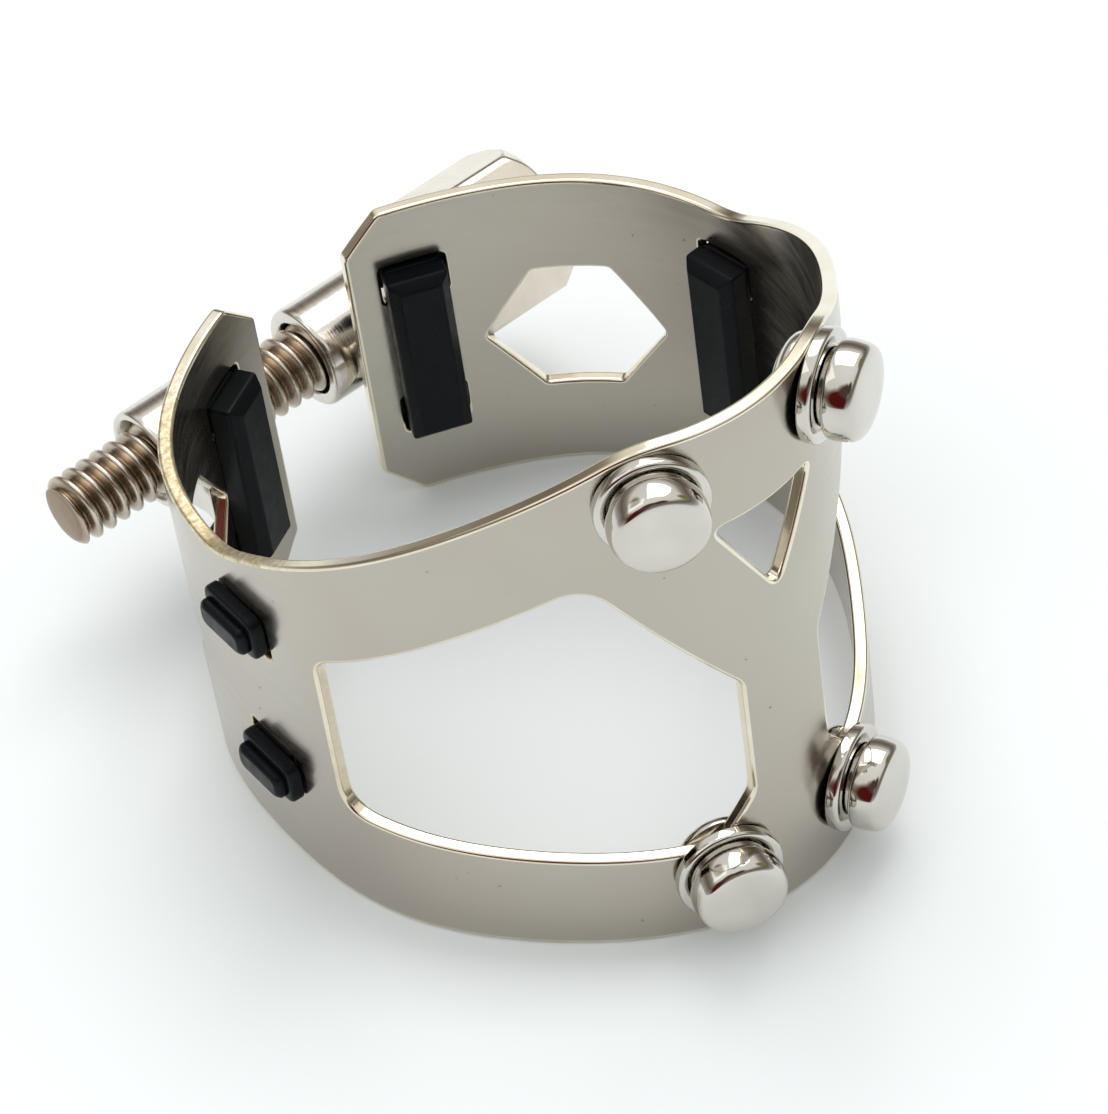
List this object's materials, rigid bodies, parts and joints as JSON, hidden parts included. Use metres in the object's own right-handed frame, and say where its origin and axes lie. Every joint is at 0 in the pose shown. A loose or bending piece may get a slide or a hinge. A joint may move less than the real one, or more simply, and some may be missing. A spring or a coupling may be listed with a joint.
{
  "type": "saxophone ligature",
  "caption": "Metal saxophone ligature: an open-cut band with rubber pads clamps a reed to a mouthpiece by one cross screw with a hexagonal knob.",
  "frame": {"origin": "middle of the bounding box's bottom, at the height of the lower rim", "axes": "+Z along the ring's axis, from the lower rim up; -Y towards the reed plate, +Y towards the screw; +X towards the knob"},
  "size_m": [0.029, 0.037, 0.0255],
  "materials": {
    "plated_band": "nickel plated, polished sheet",
    "polished_stud": "bright nickel plate, mirror polished",
    "black_rubber": "semi-gloss black",
    "warm_nickel": "warm nickel plate, satin polish",
    "plated_barrel": "nickel plated"
  },
  "bodies": {
    "ring": {"band": "plated_band", "barrel_right": "plated_barrel", "pad_right_side": "black_rubber", "pad_right_end": "black_rubber", "reed_stud_upper_left": "polished_stud", "reed_stud_upper_right": "polished_stud", "reed_stud_lower_left": "polished_stud", "reed_stud_lower_right": "polished_stud", "stud_washer_upper_left": "polished_stud", "stud_washer_upper_right": "polished_stud", "stud_washer_lower_left": "polished_stud", "stud_washer_lower_right": "polished_stud", "stud_cap_upper_left": "polished_stud", "stud_cap_upper_right": "polished_stud", "stud_cap_lower_left": "polished_stud", "stud_cap_lower_right": "polished_stud"},
    "left_wing": {"barrel_left": "plated_barrel", "pad_left_end": "black_rubber", "pad_left_side": "black_rubber"},
    "screw": {"screw_shank": "warm_nickel", "hex_knob": "warm_nickel"}
  },
  "joints": [
    {"name": "screw_turn", "type": "hinge", "parent": "ring", "child": "screw", "pos_m": [-0.00088, 0.01525, 0.007], "axis": [-1, 0, 0], "range_deg": [-365, 545]},
    {"name": "wing_hinge", "type": "hinge", "parent": "ring", "child": "left_wing", "pos_m": [-0.00864, -0.01222, 0], "axis": [0, 0, -1], "range_deg": [-1.46, 2.19], "deforming": ["band"]}
  ],
  "couplings": [
    {"joint": "screw_turn", "follows": "wing_hinge", "ratio": 246.55}
  ]
}
